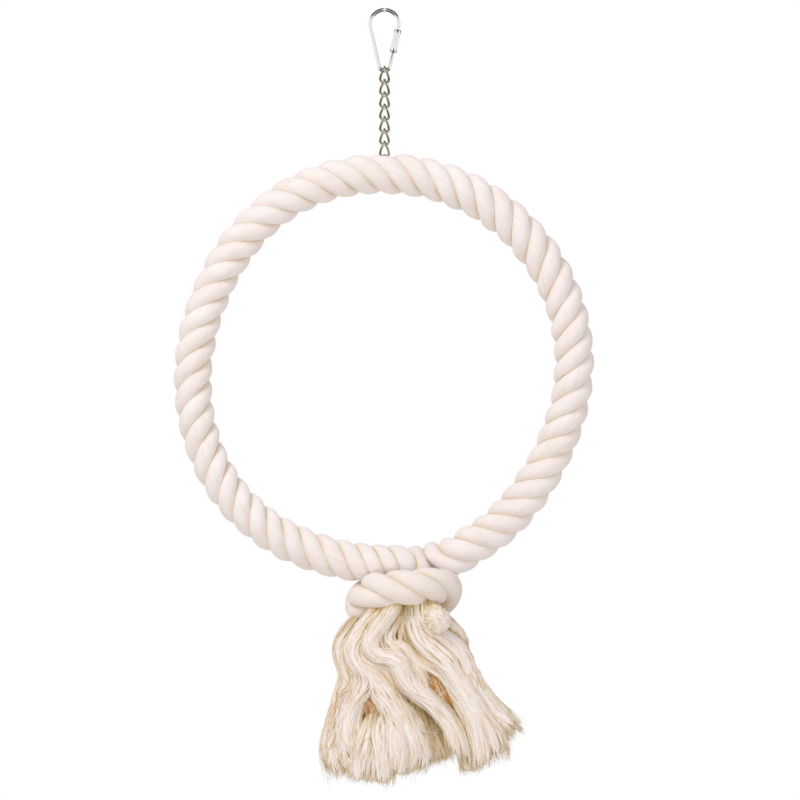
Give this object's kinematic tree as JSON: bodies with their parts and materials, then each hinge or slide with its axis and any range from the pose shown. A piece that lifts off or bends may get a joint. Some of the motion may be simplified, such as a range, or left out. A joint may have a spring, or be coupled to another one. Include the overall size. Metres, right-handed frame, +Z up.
{
  "type": "bird swing",
  "caption": "Rope ring bird swing: a ring of thick laid cotton rope, knotted at its foot with a combed-out tassel, hung on a short twisted chain and a pear-shaped quick link.",
  "frame": {"origin": "the inside of the quick link's crown, where the swing hangs on a cage bar", "axes": "+Z up along the chain, +X to the right seen from the front, +Y away from the viewer through the ring"},
  "size_m": [0.2465, 0.0691, 0.4599],
  "materials": {
    "nickel_plated_steel": "gloss",
    "chain_nickel": "satin",
    "galvanised_wire": "matte",
    "cotton_rope": "matte",
    "combed_cotton_yarn": "matte"
  },
  "bodies": {
    "quick_link": {"quick_link": "nickel_plated_steel"},
    "sleeve_nut": {"sleeve_nut": "nickel_plated_steel"},
    "link_1": {"chain_link_1": "chain_nickel"},
    "link_2": {"chain_link_2": "chain_nickel"},
    "link_3": {"chain_link_3": "chain_nickel"},
    "link_4": {"chain_link_4": "chain_nickel"},
    "link_5": {"chain_link_5": "chain_nickel"},
    "link_6": {"chain_link_6": "chain_nickel"},
    "link_7": {"chain_link_7": "chain_nickel"},
    "ring": {"anchor_link": "chain_nickel", "core_wire": "galvanised_wire", "rope_strand_1": "cotton_rope", "rope_strand_2": "cotton_rope", "rope_strand_3": "cotton_rope", "knot_neck": "cotton_rope", "knot_turn": "cotton_rope", "tassel_strand_1": "combed_cotton_yarn", "tassel_strand_2": "combed_cotton_yarn", "tassel_strand_3": "combed_cotton_yarn", "tassel_strand_4": "combed_cotton_yarn", "tassel_strand_5": "combed_cotton_yarn", "tassel_strand_6": "combed_cotton_yarn"}
  },
  "joints": [
    {"name": "nut_travel", "type": "slide", "parent": "quick_link", "child": "sleeve_nut", "axis": [-0.2149, 0, -0.9766], "range_m": [0, 0.0068]},
    {"name": "link_1_swing", "type": "hinge", "parent": "quick_link", "child": "link_1", "pos_m": [0, 0, -0.0349], "axis": [1, 0, 0], "range_deg": [-30, 30]},
    {"name": "link_2_sway", "type": "hinge", "parent": "link_1", "child": "link_2", "pos_m": [0, 0, -0.04075], "axis": [0, 1, 0], "range_deg": [-30, 30]},
    {"name": "link_3_swing", "type": "hinge", "parent": "link_2", "child": "link_3", "pos_m": [0, 0, -0.0495], "axis": [1, 0, 0], "range_deg": [-30, 30]},
    {"name": "link_4_sway", "type": "hinge", "parent": "link_3", "child": "link_4", "pos_m": [0, 0, -0.05535], "axis": [0, 1, 0], "range_deg": [-30, 30]},
    {"name": "link_5_swing", "type": "hinge", "parent": "link_4", "child": "link_5", "pos_m": [0, 0, -0.0641], "axis": [1, 0, 0], "range_deg": [-30, 30]},
    {"name": "link_6_sway", "type": "hinge", "parent": "link_5", "child": "link_6", "pos_m": [0, 0, -0.06995], "axis": [0, 1, 0], "range_deg": [-30, 30]},
    {"name": "link_7_swing", "type": "hinge", "parent": "link_6", "child": "link_7", "pos_m": [0, 0, -0.0787], "axis": [1, 0, 0], "range_deg": [-30, 30]},
    {"name": "ring_sway", "type": "hinge", "parent": "link_7", "child": "ring", "pos_m": [0, 0, -0.08455], "axis": [0, 1, 0], "range_deg": [-30, 30]}
  ]
}
